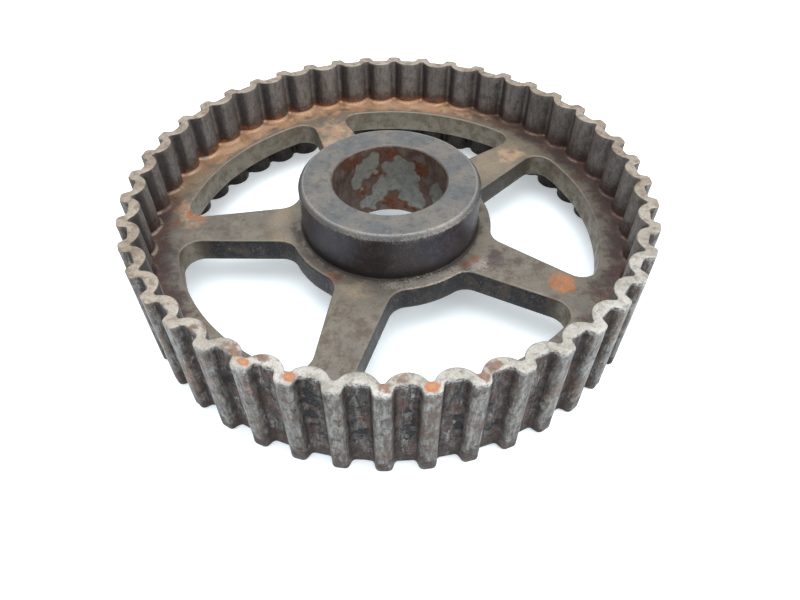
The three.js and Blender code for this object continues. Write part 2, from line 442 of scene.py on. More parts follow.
def rim_rows():
    """The rim's cross-section as closed rows: (share from outside to inside, its two insets, height)."""
    height = rim_high.z
    inner_foot = quarter_turn(RIM_FOOT_INNER_ROUNDING, 3)
    foot = quarter_turn(RIM_FOOT_ROUNDING, 4)
    top = quarter_turn(RIM_TOP_ROUNDING, 3)
    outer_wall = np.linspace(RIM_FOOT_ROUNDING, height - RIM_TOP_ROUNDING, RIM_WALL_STEPS + 1)[1:-1]
    inner_wall = np.linspace(height - RIM_TOP_ROUNDING, RIM_FOOT_INNER_ROUNDING, RIM_WALL_STEPS + 1)[1:-1]
    across = np.linspace(0, 1, RIM_END_STEPS + 1)[1:-1]
    rows = [(0.0, inset, 0.0, rise) for inset, rise in foot]
    rows += [(0.0, 0.0, 0.0, z) for z in outer_wall]
    rows += [(0.0, inset, 0.0, height - rise) for inset, rise in reversed(top)]
    rows += [(share, RIM_TOP_ROUNDING, RIM_TOP_ROUNDING, height) for share in across]
    rows += [(1.0, 0.0, inset, height - rise) for inset, rise in top]
    rows += [(1.0, 0.0, 0.0, z) for z in inner_wall]
    rows += [(1.0, 0.0, inset, rise) for inset, rise in reversed(inner_foot)]
    rows += [(share, RIM_FOOT_ROUNDING, RIM_FOOT_INNER_ROUNDING, 0.0) for share in reversed(across)]
    return rows


def toothed_rim():
    """The corrugated ring, as a grid of columns round the rim and rows round its cross-section."""
    outer = tooth_outline()
    inner = corrugation(0, HOLLOW_STEPS, BULGE_STEPS)
    outer_normals = outward_normals(outer)
    inner_normals = -outward_normals(inner)
    rows = rim_rows()
    levels = []
    for share, outer_inset, inner_inset, z in rows:
        outside = outer - outer_normals * outer_inset
        inside = inner - inner_normals * inner_inset
        levels.append(level_points(outside * (1 - share) + inside * share, z))
    points, faces = closed_band(levels)
    share = np.repeat([row[0] for row in rows], len(outer))
    marks = rim_marks(points, share)
    make_piece("toothed_rim", dented(points), faces, marks, rim_material())


def rim_marks(points, share):
    """Where the rim is worn, oily, dirty or rusty, and where shade and glints are painted, given each point's
    share from outside to inside.
    """
    height = points[:, 2]
    radius = radius_of(points)
    on_top = closeness(rim_high.z - height, FACE_REACH, FACE_FULL)
    outside = share < 0.5
    inside = share > 0.99
    web_distance = np.abs(height - web_high.z)
    return {
        "inside": inside * (1 - on_top),
        "top": on_top,
        "land": soft_step(radius, GROOVE_FLOOR_RADIUS + 0.4 * MM, LAND_REACH - 0.4 * MM) * outside,
        "corner": dirty_corner(points) * outside,
        # Painted shade: a darker band on one flank of each bulge.
        "painted_shade_flank": bell(off_land(points) - PAINTED_SHADE_FLANK_OFFSET, PAINTED_SHADE_FLANK_WIDTH) * inside,
        "near": soft_step(np.cos(angle_off(points, PALE_SIDE)), 0.3, 0.95),
        "foot": closeness(height, FOOT_DIRT_REACH, 1 * MM) * outside,
        # White nicks near the top, which also serve as painted glints on the near side.
        "nick_and_glint": closeness(rim_high.z - height, 0.7 * MM, 0.3 * MM) * outside,
        "seam": closeness(web_distance, SEAM_DIRT_REACH, 1 * MM) * inside,
        "crust": closeness(web_distance, CRUST_REACH, 0.0) * rusty_side(points) * inside,
        "under": closeness(height, web_high.z, web_low.z) * inside,
        **{name: spots(points, places) * on_top for name, places in RIM_TOP_SPOTS.items()},
        **{name: spots(points, places, True) * outside for name, places in RIM_SIDE_SPOTS.items()},
    }


def bell(distance, width):
    """1 where the distance is 0, falling smoothly to nearly 0 at twice the width."""
    return np.exp(-((distance / width) ** 2))


def off_land(points):
    """Each point's distance round the rim from the middle of the nearest land, positive anticlockwise."""
    return np.angle(np.exp(1j * angle_of(points) * TOOTH_COUNT)) / TOOTH_COUNT * radius_of(points)


def dirty_corner(points):
    """1 in the corners where the groove floors meet their flanks, where dirt gathers."""
    across = bell(np.abs(off_land(points)) - DIRTY_CORNER_OFFSET, DIRTY_CORNER_WIDTH)
    return across * closeness(radius_of(points) - GROOVE_FLOOR_RADIUS, 1.6 * MM, 0.4 * MM)


def dented(points):
    """The same points pressed in a little, unevenly, as wear and handling leave a steel rim."""
    wide = roughness_at(points, 6 * MM, 3.0)
    fine = roughness_at(points, 1.6 * MM, 8.0)
    depth = (0.05 * soft_step(wide, 0.0, 0.6) + 0.08 * soft_step(fine, 0.25, 0.7)) * MM
    pressed = pressed_in(points, depth, MID_WALL_RADIUS)
    top = points[:, 2] > rim_high.z - FACE_FULL
    pressed[top, 2] -= depth[top]
    return pressed


# ---------------- spoked web

# The web's faces are filled with a triangular grid. Its jitter and its clearance from edges are shares of
# its spacing.
TRIANGLE_HEIGHT = math.sqrt(0.75)
GRID_JITTER = 0.18
GRID_CLEARANCE = 0.55

# The rust, dust and rubbed places on the web's upper face.
WEB_TOP_SPOTS = {
    "spot": [
        (48.3, 331, 3.1, 3.6), (53.9, 178.8, 1.2, 2), (51, 180.4, 1.8, 1.2),
    ],
    "stain": [
        (46.5, 40.5, 4.5, 2.8), (47, 112, 6, 5.5), (38, 114, 7, 4), (60, 145, 2.4, 6),
        (60, 133, 2.4, 6), (60.5, 118, 2.4, 9), (60, 98, 2.6, 12), (59.5, 76, 2.6, 14),
        (54, 178, 4, 5.5),
    ],
    "rust": [
        (25.9, 239.7, 1.6, 2.6), (27.6, 238, 1.8, 1.6), (26, 317, 1.1, 2.2), (26.6, 324, 1.4, 2),
        (56.8, 183, 0.8, 2),
    ],
    "dust": [
        (42, 41.5, 11, 6.5), (29, 200, 2.6, 5), (29.5, 178, 3, 6), (26.5, 222, 1.6, 4),
        (28, 255, 2.4, 4), (26.5, 300, 1.6, 6), (53, 172, 3, 5), (58, 165, 3, 7),
    ],
    "shade": [
        (58.5, 28, 2.6, 9), (58.5, 44, 2.2, 7), (59, 352, 3.2, 12), (60, 12, 2.6, 12),
        (57.5, 337, 3, 5), (58.5, 198, 3.2, 9), (58.5, 212, 2.4, 8), (60.5, 181, 2, 4),
        (31.5, 330, 4.6, 3.4), (27.5, 312, 1.6, 3), (25.5, 218, 1.8, 7), (25.2, 197, 1.2, 5),
    ],
    "bright": [
        (25.2, 274, 1.2, 2.6), (25.2, 284, 1.5, 3), (25.4, 294, 1.6, 3), (25.6, 303, 1.6, 2.6),
        (26.1, 311, 1.6, 2), (28, 322, 2.2, 2.6),
    ],
}


def even_odd(points, loops):
    """Whether each point is inside the loops: odd crossings of a ray, so that a hole's inside is outside."""
    crossings = np.zeros(len(points), int)
    for loop in loops:
        for (x0, y0), (x1, y1) in zip(loop, np.roll(loop, -1, axis=0)):
            spans = (points[:, 1] < y0) != (points[:, 1] < y1)
            if y1 != y0:
                cross_x = x0 + (points[:, 1] - y0) * (x1 - x0) / (y1 - y0)
                crossings += spans & (points[:, 0] < cross_x)
    return crossings % 2 == 1


def distance_to(points, loop):
    """Each point's distance to the nearest point of a loop."""
    nearest = np.full(len(points), np.inf)
    for start in range(0, len(loop), 64):
        part = loop[start:start + 64]
        gaps = np.linalg.norm(points[:, None, :] - part[None, :, :], axis=2)
        nearest = np.minimum(nearest, gaps.min(axis=1))
    return nearest


def scattered(loops, spacing):
    """Points in a slightly uneven triangular grid over the inside of the loops, clear of their edges."""
    reach = max(np.abs(loop).max() for loop in loops)
    rows = int(2 * reach / (spacing * TRIANGLE_HEIGHT)) + 1
    across = np.arange(-reach, reach, spacing)
    grid = []
    for row in range(rows):
        shifted = across + (row % 2) * spacing / 2
        grid.append(level_points(shifted, -reach + row * spacing * TRIANGLE_HEIGHT))
    points = np.concatenate(grid)
    points = points + np.random.default_rng(7).uniform(-GRID_JITTER, GRID_JITTER, points.shape) * spacing
    points = points[even_odd(points, loops)]
    for loop in loops:
        points = points[distance_to(points, loop) > GRID_CLEARANCE * spacing]
    return points


def flat_triangles(loops, inner_points):
    """Triangles over the inside of the loops, as indices into the loops' points and then the inner points."""
    everything = np.concatenate([*loops, inner_points])
    edges = []
    first = 0
    for loop in loops:
        count = len(loop)
        edges += [(first + i, first + (i + 1) % count) for i in range(count)]
        first += count
    scale = 1 / MM
    coordinates = [Vector(point) for point in (everything * scale).tolist()]
    made, _, triangles, origins, _, _ = delaunay_2d_cdt(coordinates, edges, [], 1, 1e-6)
    back = np.array([origin[0] for origin in origins])
    triangles = np.array(triangles)
    places = np.array([tuple(point) for point in made]) / scale
    middles = places[triangles].mean(axis=1)
    return back[triangles[even_odd(middles, loops)]]


def window_rows():
    """(inset, height) rows of a window's edge: round its lower edge, up its wall and round its upper edge."""
    low, high = web_low.z, web_high.z
    rounded = quarter_turn(WINDOW_EDGE_ROUNDING, 3)
    border = 2 * WINDOW_EDGE_ROUNDING
    wall = np.linspace(low + WINDOW_EDGE_ROUNDING, high - WINDOW_EDGE_ROUNDING, 6)[1:-1]
    rows = [(border, low)] + [(inset, low + rise) for inset, rise in rounded]
    rows += [(0.0, z) for z in wall]
    return rows + [(inset, high - rise) for inset, rise in reversed(rounded)] + [(border, high)]


def filleted_rows(radius, fillet_steps, wall_steps):
    """(inset, height) rows of an edge that runs into a neighbour: up a fillet, the wall and a fillet."""
    low, high = web_low.z, web_high.z
    fillet = quarter_turn(radius, fillet_steps)
    wall = np.linspace(low - radius * LOWER_FILLET_SHARE, high + radius, wall_steps + 1)[1:-1]
    rows = [(inset, low - rise * LOWER_FILLET_SHARE) for inset, rise in fillet]
    rows += [(0.0, z) for z in wall]
    return rows + [(inset, high + rise) for inset, rise in reversed(fillet)]


def seam_outline(inset):
    """The web's outer edge, just inside the rim's corrugation and drawn nearer the axis by inset."""
    return corrugation(SEAM_GAP + inset, 2, 6)


def hub_hole_outline(inset):
    """The web's inner edge, just outside the hub and drawn wider by inset."""
    return arc((0, 0), HUB_RADIUS + SEAM_GAP + inset, 0, 2 * math.pi, HUB_COLUMNS)[:-1]


def window_drawer(number):
    """A function that draws one window's outline, wider by its inset."""
    outline = window_outline(FIRST_SPOKE_ANGLE + number * SPOKE_ANGLE)
    normals = outward_normals(outline)
    return lambda inset: outline + normals * inset


def web_loops():
    """Each edge of the web: a function that draws it at an inset, and its (inset, height) rows."""
    loops = [(seam_outline, filleted_rows(SEAM_FILLET, 5, 5))]
    loops += [(window_drawer(number), window_rows()) for number in range(SPOKE_COUNT)]
    loops += [(hub_hole_outline, filleted_rows(HUB_FOOT_FILLET, 4, 4))]
    return loops


def web_mesh(loops):
    """Points and faces of the web: a band up each edge, and triangles over the lower and the upper face."""
    points = []
    faces = []
    first = 0
    face_edges = {0: [], -1: []}
    for outline, rows in loops:
        rings = [outline(inset) for inset, _ in rows]
        count = len(rings[0])
        for row, (ring, (_, z)) in enumerate(zip(rings, rows)):
            points.append(level_points(ring, z))
            if row:
                faces += ring_faces(first + (row - 1) * count, first + row * count, count)
        face_edges[0].append((rings[0], first))
        face_edges[-1].append((rings[-1], first + (len(rows) - 1) * count))
        first += len(rows) * count
    for end, z in ((0, web_low.z), (-1, web_high.z)):
        edge_loops = [ring for ring, _ in face_edges[end]]
        inner = scattered(edge_loops, WEB_POINT_SPACING)
        triangles = flat_triangles(edge_loops, inner)
        numbers = [np.arange(start, start + len(ring)) for ring, start in face_edges[end]]
        numbers = np.concatenate([*numbers, np.arange(first, first + len(inner))])
        points.append(level_points(inner, z))
        faces += numbers[triangles].tolist()
        first += len(inner)
    return np.concatenate(points), faces


def spoked_web():
    """The disc between rim and hub: rounded window edges, and fillets up to the rim and the hub."""
    loops = web_loops()
    points, faces = web_mesh(loops)
    flat = points[:, :2]
    window_gap = np.min([distance_to(flat, outline(0)) for outline, _ in loops[1:-1]], axis=0)
    seam_gap = distance_to(flat, seam_outline(0))
    marks = web_marks(points, window_gap, seam_gap)
    uneven = roughness_at(points, 5 * MM, 5.0) * 0.05 * MM + roughness_at(points, 1.7 * MM, 9.0) * 0.025 * MM
    clear_of_edges = soft_step(np.minimum(window_gap, seam_gap), 0.4 * MM, 1.2 * MM)
    points[:, 2] += uneven * clear_of_edges
    make_piece("spoked_web", points, faces, marks, web_material())


def web_marks(points, window_gap, seam_gap):
    """Where the web is worn, dirty or rusty, and where a glint is painted, given each point's distance to a
    window and to the rim.
    """
    height = points[:, 2]
    radius = radius_of(points)
    on_top = closeness(web_high.z - height, 0.4 * MM, FACE_FULL)
    on_face = np.maximum(on_top, closeness(height - web_low.z, 0.4 * MM, FACE_FULL))
    return {
        "face": on_face,
        "edge": bell(window_gap - 0.15 * MM, 0.3 * MM) * on_top,
        "seam": closeness(seam_gap, SEAM_DIRT_REACH, 0.0) * on_face,
        "lip": closeness(seam_gap, SEAM_FILLET, 0.3 * SEAM_FILLET) * on_top,
        "hub_foot": closeness(radius - HUB_RADIUS, 2.4 * MM, 0.3 * MM) * on_face,
        "outer_wall": soft_step(radius, WINDOW_OUTER_RADIUS - 9 * MM, WINDOW_OUTER_RADIUS - 2 * MM),
        "rusty_side": rusty_side(points),
        "far": soft_step(points[:, 1], 0.1 * LAND_REACH, 0.6 * LAND_REACH),
        # The side on which the painted glint on the fillet's lip lies.
        "left": soft_step(-points[:, 0], 0.3 * LAND_REACH, 0.8 * LAND_REACH),
        **{name: spots(points, places) * on_top for name, places in WEB_TOP_SPOTS.items()},
    }


# ---------------- hub

def hub_profile():
    """The hub's cross-section as (radius, height) points, closed: bore, top face, wall and foot."""
    low, high = hub_low.z, hub_high.z
    mouth_radius = BORE_TOP_RADIUS - BORE_MOUTH_CHAMFER
    corners = [
        (BORE_FOOT_RADIUS, low, 0.25 * MM, 4),
        (HUB_RADIUS - HUB_FOOT_CHAMFER, low, 0.2 * MM, 3),
        (HUB_RADIUS, low + HUB_FOOT_CHAMFER, 0.2 * MM, 3),
        (HUB_RADIUS, high - HUB_TOP_CHAMFER, 0.35 * MM, 4),
        (HUB_RADIUS - HUB_TOP_CHAMFER, high, 0.3 * MM, 4),
        (BORE_TOP_RADIUS, high, 0.15 * MM, 3),
        (mouth_radius, high - BORE_MOUTH_CHAMFER, 0.2 * MM, 3),
    ]
    places = [np.array([radius, z]) for radius, z, _, _ in corners]
    profile = []
    for index, (_, _, rounding, steps) in enumerate(corners):
        before = places[index - 1]
        after = places[(index + 1) % len(places)]
        curve = rounded_corner(before, places[index], after, rounding, steps)
        if profile:
            profile.append(evenly_between(profile[-1][-1], curve[0], HUB_POINT_SPACING))
        profile.append(curve)
    profile.append(evenly_between(profile[-1][-1], profile[0][0], HUB_POINT_SPACING))
    return np.concatenate(profile)


# The direction in degrees in which the edge of the hub's face is rubbed most.
RUBBED_SIDE = 290

# The bore's oxide patches and rust.
BORE_SPOTS = {
    "oxide": [
        (24, 113, 2.4, 2.6), (21.6, 124, 2.6, 2.4), (19, 131, 2.6, 2), (21.4, 84, 3.2, 5),
        (18.6, 72, 4, 4.6), (17, 90, 3.6, 4), (14.6, 104, 3.2, 2.9), (11.8, 117, 2.8, 2.6),
        (13.6, 66, 2.6, 3.4), (13.2, 54, 2.4, 2), (18.5, 24, 3.6, 3), (17, 200, 4, 5),
        (19, 280, 3, 6),
    ],
    "bore_rust": [
        (20.7, 105, 2, 2.2), (16.8, 127, 2.8, 2), (11.6, 92, 2.4, 3.4), (9.6, 80, 1.4, 4.6),
        (11.4, 76, 1.8, 2), (25.6, 136, 2, 2.4), (26.6, 128, 1.2, 2.4), (22, 58, 2.6, 3.4),
        (25, 96, 1.8, 3), (14, 240, 3, 5),
    ],
}


def hub():
    """The turned boss with its tapered bore."""
    angles = np.arange(HUB_COLUMNS) * 2 * math.pi / HUB_COLUMNS
    points, faces = closed_band([level_points(polar(radius, angles), z) for radius, z in hub_profile()])
    marks = hub_marks(points)
    wear = soft_step(roughness_at(points, 2.2 * MM, 12.0), 0.1, 0.7)
    points = pressed_in(points, 0.05 * MM * wear, (HUB_RADIUS + BORE_FOOT_RADIUS) / 2)
    make_piece("hub", points, faces, marks, hub_material())


def hub_marks(points):
    """Where the hub is worn, dirty or rusty."""
    height = points[:, 2]
    radius = radius_of(points)
    depth = hub_high.z - height
    on_top = closeness(depth, 0.3 * MM, FACE_FULL)
    on_foot = closeness(height - hub_low.z, 0.3 * MM, FACE_FULL)
    in_bore = radius < BORE_TOP_RADIUS - FACE_FULL
    on_chamfer = (radius > HUB_RADIUS - HUB_TOP_CHAMFER - 0.1 * MM) & (depth < HUB_TOP_CHAMFER + 0.2 * MM)
    face_edge = np.hypot(radius - HUB_RADIUS + HUB_TOP_CHAMFER, depth)
    return {
        "face": np.maximum(on_top, on_foot),
        "face_edge": closeness(face_edge, 0.35 * MM, 0.1 * MM),
        "bore": in_bore.astype(float),
        "chamfer": on_chamfer * (1 - on_top),
        "rubbed": soft_step(np.cos(angle_off(points, RUBBED_SIDE)), 0.3, 1.0),
        "foot": closeness(height - web_high.z, 4 * MM, 0.0),
        **{name: spots(points, places, True) * in_bore for name, places in BORE_SPOTS.items()},
    }


# ---------------- materials

# How much brighter than a fully white sheet the studio's light would show a level white surface.
STUDIO_BRIGHTNESS = 2.3

# Colours are written as they show on screen, from 0 to 255, on a level surface in the studio's light.
RUST_ORANGE = (208, 124, 66)
RUST_PALE = (230, 160, 104)
OIL_BLACK = (34, 32, 33)
# Bare steel, also the colour of the painted glints at the nicks.
BARE_STEEL_AND_GLINT = (244, 242, 236)


def linear_colour(seen):
    """The linear colour and alpha of a surface that shows the given screen colour."""
    channels = [value / 255 for value in seen]
    linear = [c / 12.92 if c <= 0.04045 else ((c + 0.055) / 1.055) ** 2.4 for c in channels]
    return (*(c / STUDIO_BRIGHTNESS for c in linear), 1.0)


class Paint:
    """A material and short calls that add nodes to it.

    A colour is a screen colour or a node's output. A share from 0 to 1 is a number, a node's output, the name
    of a mark, or (field, low, high): a smooth step as the field goes from low to high.
    """

    def __init__(self, name):
        self.material = bpy.data.materials.new(name)
        self.material.use_nodes = True
        self.tree = self.material.node_tree
        self.surface = self.tree.nodes["Principled BSDF"]
        self.coordinates = self.tree.nodes.new("ShaderNodeTexCoord").outputs["Object"]

    def feed(self, socket, value):
        """Links a node's output to a socket, or sets the socket to a screen colour or another value."""
        if isinstance(value, bpy.types.NodeSocket):
            self.tree.links.new(value, socket)
        elif isinstance(value, tuple):
            socket.default_value = linear_colour(value)
        else:
            socket.default_value = value

    def share(self, value):
        """A share in any of its forms, as a number or a node's output."""
        if isinstance(value, str):
            return self.mark(value)
        if isinstance(value, tuple):
            return self.step(*value)
        return value

    def node(self, kind, output, inputs, **settings):
        """The output of a new node with the given inputs and settings."""
        node = self.tree.nodes.new(kind)
        for name, value in settings.items():
            setattr(node, name, value)
        for socket, value in inputs.items():
            self.feed(node.inputs[socket], value)
        return node.outputs[output]

    def mark(self, name):
        """A mark that the mesh carries at each point."""
        return self.node("ShaderNodeAttribute", "Fac", {}, attribute_name=name)

    def placed(self, stretch, shift):
        """The object's coordinates, squeezed along each axis and shifted."""
        place = Vector((shift, shift * 0.7, shift * 1.3))
        inputs = {"Vector": self.coordinates, "Scale": Vector(stretch), "Location": place}
        return self.node("ShaderNodeMapping", "Vector", inputs)

    def noise(self, size, detail=3.0, rough=0.55, stretch=(1, 1, 1), shift=0.0, twist=0.0):
        """Noise from 0 to 1 with features of about the given size."""
        inputs = {"Vector": self.placed(stretch, shift), "Scale": 1 / size}
        inputs.update({"Detail": detail, "Roughness": rough, "Distortion": twist})
        return self.node("ShaderNodeTexNoise", "Fac", inputs)

    def cells(self, size, shift=0.0):
        """The distance to the nearest of many scattered points, in cells of about the given size."""
        inputs = {"Vector": self.placed((1, 1, 1), shift), "Scale": 1 / size}
        return self.node("ShaderNodeTexVoronoi", "Distance", inputs)

    def step(self, value, low, high, to_low=0.0, to_high=1.0):
        """A smooth step from to_low at low to to_high at high."""
        inputs = {"Value": self.share(value), "From Min": low, "From Max": high}
        inputs.update({"To Min": to_low, "To Max": to_high})
        return self.node("ShaderNodeMapRange", "Result", inputs, interpolation_type="SMOOTHSTEP")

    def math(self, operation, first, second, clamp=True):
        """One arithmetic operation on two shares, its result kept from 0 to 1 unless clamp is off."""
        shares = {0: self.share(first), 1: self.share(second)}
        return self.node("ShaderNodeMath", 0, shares, operation=operation, use_clamp=clamp)

    def both(self, *shares):
        """The product of several shares."""
        product = self.share(shares[0])
        for share in shares[1:]:
            product = self.math("MULTIPLY", product, share)
        return product

    def ragged(self, mark, field, spread, low, high):
        """A share that rises as a mark goes from low to high, with its outline broken up by a noise field."""
        noisy = self.math("ADD", mark, (field, 0.3, 0.7, -spread, spread), clamp=False)
        return self.step(noisy, low, high)

    def mix(self, share, first, second):
        """A colour between two colours."""
        inputs = {0: self.share(share), 6: first, 7: second}
        return self.node("ShaderNodeMix", 2, inputs, data_type="RGBA")

    def layers(self, colour, *coats):
        """A colour under several coats, each a colour and the shares whose product says how thick it is."""
        for coat, *shares in coats:
            colour = self.mix(self.both(*shares), colour, coat)
        return colour

    def grained(self, colour, field, darkest, lightest):
        """The colour made darker or lighter by the grain of a noise field."""
        inputs = {0: colour, "Scale": self.step(field, 0.36, 0.64, darkest, lightest)}
        return self.node("ShaderNodeVectorMath", "Vector", inputs, operation="SCALE")

    def bump(self, height, depth, strength, normal=None):
        """A bumped normal, from a height of 0 to 1 that stands for the given depth."""
        inputs = {"Height": height, "Distance": depth, "Strength": strength}
        if normal is not None:
            inputs["Normal"] = normal
        return self.node("ShaderNodeBump", "Normal", inputs)

    def finish(self, colour, roughness, metallic, normal):
        """Puts the results on the surface and gives the material."""
        looks = {"Base Color": colour, "Roughness": roughness, "Metallic": metallic, "Normal": normal}
        for socket, value in looks.items():
            self.feed(self.surface.inputs[socket], value)
        return self.material


def rim_material():
    """Sintered steel: pale worn end face, grey lands with white nicks that also serve as painted glints, dark
    oily grooves and a dirty olive inside with painted shade on one flank of each bulge.
    """
    paint = Paint("rim_steel_worn")
    broad = paint.noise(9 * MM, detail=4, shift=1.0)
    medium = paint.noise(2.2 * MM, detail=6, rough=0.68, shift=2.0)
    fine = paint.noise(0.6 * MM, detail=5, rough=0.75, shift=3.0)
    streaks = paint.noise(0.8 * MM, detail=6, rough=0.72, stretch=(1, 1, 0.22), shift=4.0, twist=0.3)
    blotches = paint.noise(2.6 * MM, detail=6, rough=0.72, stretch=(1, 1, 0.6), shift=5.0, twist=0.6)
    grime = paint.noise(1.6 * MM, detail=6, rough=0.72, stretch=(1, 1, 0.3), shift=15.0, twist=0.15)
    stain = paint.ragged("stain", medium, 0.35, 0.35, 0.8)
    spot = paint.ragged("spot", fine, 0.12, 0.4, 0.62)
    side_rust = paint.ragged("side_rust", fine, 0.4, 0.45, 0.8)
    colour = paint.layers(
        rim_outside(paint, broad, medium, fine, streaks, blotches, grime),
        (rim_inside(paint, broad, medium, streaks), "inside"),
        ((190, 106, 66), side_rust, 0.7),
        (rim_top(paint, broad, medium, fine, grime), "top"),
        (paint.mix((grime, 0.42, 0.58), (164, 116, 88), (124, 92, 76)), stain, 0.85),
        (paint.mix(("spot", 0.55, 1.0), RUST_ORANGE, RUST_PALE), spot, 0.92),
    )
    rusted = paint.math("MAXIMUM", paint.math("MAXIMUM", stain, spot), side_rust)
    normal = paint.bump(blotches, 0.5 * MM, 0.6, paint.bump(fine, 0.2 * MM, 0.7))
    return paint.finish(
        colour=paint.grained(colour, fine, 0.84, 1.14),
        roughness=paint.step(medium, 0.3, 0.7, 0.4, 0.62),
        metallic=paint.step(rusted, 0.0, 1.0, 0.75, 0.1),
        normal=normal,
    )


def rim_inside(paint, broad, medium, streaks):
    """The inside of the rim: dirty grey, with painted shade on one flank of each bulge, rusty by the web,
    dark below it.
    """
    return paint.layers(
        paint.mix((broad, 0.3, 0.7), (152, 146, 143), (184, 177, 172)),
        ((124, 112, 104), (streaks, 0.45, 0.65), 0.7),
        ((106, 92, 86), (medium, 0.52, 0.66), 0.5),
        # Painted shade: one flank of each bulge coloured darker, standing in for shade.
        ((76, 70, 72), paint.ragged("painted_shade_flank", broad, 0.2, 0.1, 0.9), 0.8),
        ((104, 74, 66), paint.ragged("seam", medium, 0.3, 0.3, 1.0), 0.6),
        ((200, 142, 108), paint.ragged("crust", medium, 0.5, 0.45, 0.95), 0.8),
        (paint.mix((medium, 0.42, 0.62), (62, 56, 54), (92, 82, 76)), "under"),
    )


def rim_outside(paint, broad, medium, fine, streaks, blotches, grime):
    """The lands and grooves: worn grey lands, oil, rust and scuffs in the grooves, brown at the foot, and
    white nicks near the lands' tops on the near side that also serve as painted glints.
    """
    groove = paint.layers(
        paint.mix((streaks, 0.42, 0.6), (64, 58, 57), (126, 119, 114)),
        ((106, 72, 60), (blotches, 0.49, 0.58), 0.85),
        ((196, 193, 189), (grime, 0.53, 0.64), (fine, 0.4, 0.55), 0.85),
        (OIL_BLACK, (medium, 0.52, 0.59), (broad, 0.44, 0.56), (fine, 0.36, 0.48)),
        ((60, 44, 40), "corner", (medium, 0.25, 0.5), 0.8),
    )
    land = paint.layers(
        paint.mix((streaks, 0.4, 0.62), (118, 112, 107), (164, 161, 156)),
        ((116, 98, 87), (blotches, 0.5, 0.6), 0.8),
        ((188, 188, 184), (grime, 0.56, 0.66), 0.7),
        ((76, 64, 60), (medium, 0.56, 0.63), (fine, 0.42, 0.55), 0.8),
        ((128, 104, 88), (broad, 0.5, 0.6), (medium, 0.4, 0.54), 0.6),
    )
    colour = paint.layers(
        groove,
        (land, "land"),
        ((88, 70, 62), paint.ragged("foot", medium, 0.45, 0.4, 0.9), 0.85),
        # Painted glints: bare steel white at the nicks near the lands' tops, on the near side only.
        (BARE_STEEL_AND_GLINT, "nick_and_glint", (fine, 0.42, 0.54), "near", 0.85),
        ((24, 24, 28), paint.ragged("side_oil", medium, 0.5, 0.4, 0.6), (fine, 0.32, 0.46), 0.95),
    )
    return paint.grained(colour, streaks, 0.84, 1.16)


def rim_top(paint, broad, medium, fine, grime):
    """The rim's upper end face: nearly white on its pale side, grey and brown on the other."""
    worn = paint.mix((broad, 0.35, 0.65), (192, 178, 161), (220, 208, 192))
    pale = paint.mix((broad, 0.38, 0.62), (222, 219, 210), (248, 246, 240))
    return paint.layers(
        paint.mix("near", worn, pale),
        (paint.mix("near", (152, 134, 117), (190, 187, 176)), (medium, 0.49, 0.6), 0.6),
        ((150, 146, 137), (grime, 0.55, 0.62), 0.5),
        ((108, 94, 84), (fine, 0.57, 0.64), 0.6),
    )


def web_material():
    """The same steel with a brown skin, rusty by the rim and bright where the window edges are rubbed, and a
    painted glint on the lip of the fillet up to the rim, on the left.
    """
    paint = Paint("web_steel_patina")
    broad = paint.noise(14 * MM, detail=4, shift=6.0)
    medium = paint.noise(3.2 * MM, detail=6, rough=0.66, shift=7.0)
    fine = paint.noise(0.55 * MM, detail=5, rough=0.75, shift=8.0)
    grime = paint.noise(5.0 * MM, detail=6, rough=0.66, shift=16.0, twist=0.4)
    dust = paint.noise(0.8 * MM, detail=3, rough=0.6, shift=17.0)
    pits = paint.cells(3.2 * MM, shift=9.0)
    stain = paint.ragged("stain", medium, 0.35, 0.2, 1.0)
    spot = paint.ragged("spot", medium, 0.12, 0.35, 0.65)
    rust = paint.ragged("rust", fine, 0.4, 0.4, 0.8)
    dirt = paint.both(paint.ragged("seam", medium, 0.35, 0.15, 0.95), 0.8)
    orange_dust = paint.both("rusty_side", ("seam", 0.05, 0.45), (grime, 0.38, 0.52), 0.85)
    colour = paint.layers(
        web_walls(paint, medium, fine, grime),
        (web_face(paint, broad, medium, fine, grime), "face"),
        (paint.mix("rusty_side", (130, 92, 82), (255, 204, 160)), paint.math("MAXIMUM", dirt, orange_dust)),
        ((202, 184, 158), paint.ragged("dust", medium, 0.3, 0.2, 0.9), 0.6),
        ((96, 86, 88), paint.ragged("shade", medium, 0.25, 0.25, 0.9), 0.7),
        (paint.mix((grime, 0.42, 0.58), (228, 188, 152), (206, 160, 130)), stain, 0.75),
        (paint.mix("rusty_side", (84, 64, 56), (236, 182, 142)), "lip", (medium, 0.38, 0.56), 0.65),
        # Painted glint: a pale colour on the lip of the fillet up to the rim, on the left side only.
        ((206, 190, 174), "lip", (grime, 0.46, 0.56), "left", 0.7),
        ((84, 76, 72), paint.ragged("hub_foot", medium, 0.45, 0.3, 0.8), 0.45),
        ((60, 53, 52), ("hub_foot", 0.8, 1.0, 0.0, 0.85)),
        ((200, 190, 174), "edge", (medium, 0.44, 0.6), 0.25),
        ((208, 202, 194), paint.ragged("bright", fine, 0.3, 0.35, 0.75), 0.7),
        (paint.mix((grime, 0.4, 0.6), (206, 138, 84), (184, 116, 72)), spot, 0.9),
        (paint.mix((medium, 0.42, 0.58), (178, 110, 78), (134, 92, 76)), rust, 0.85),
        (OIL_BLACK, (pits, 0.05, 0.12, 1.0, 0.0), (broad, 0.48, 0.6), 0.75),
        ((214, 206, 192), (dust, 0.7, 0.74), 0.8),
    )
    return paint.finish(
        colour=paint.grained(colour, fine, 0.86, 1.14),
        roughness=paint.step(medium, 0.3, 0.7, 0.45, 0.68),
        metallic=paint.step(paint.math("MAXIMUM", stain, spot), 0.0, 1.0, 0.7, 0.15),
        normal=paint.bump(paint.step(pits, 0.0, 0.12), 0.12 * MM, 0.4, paint.bump(fine, 0.12 * MM, 0.6)),
    )


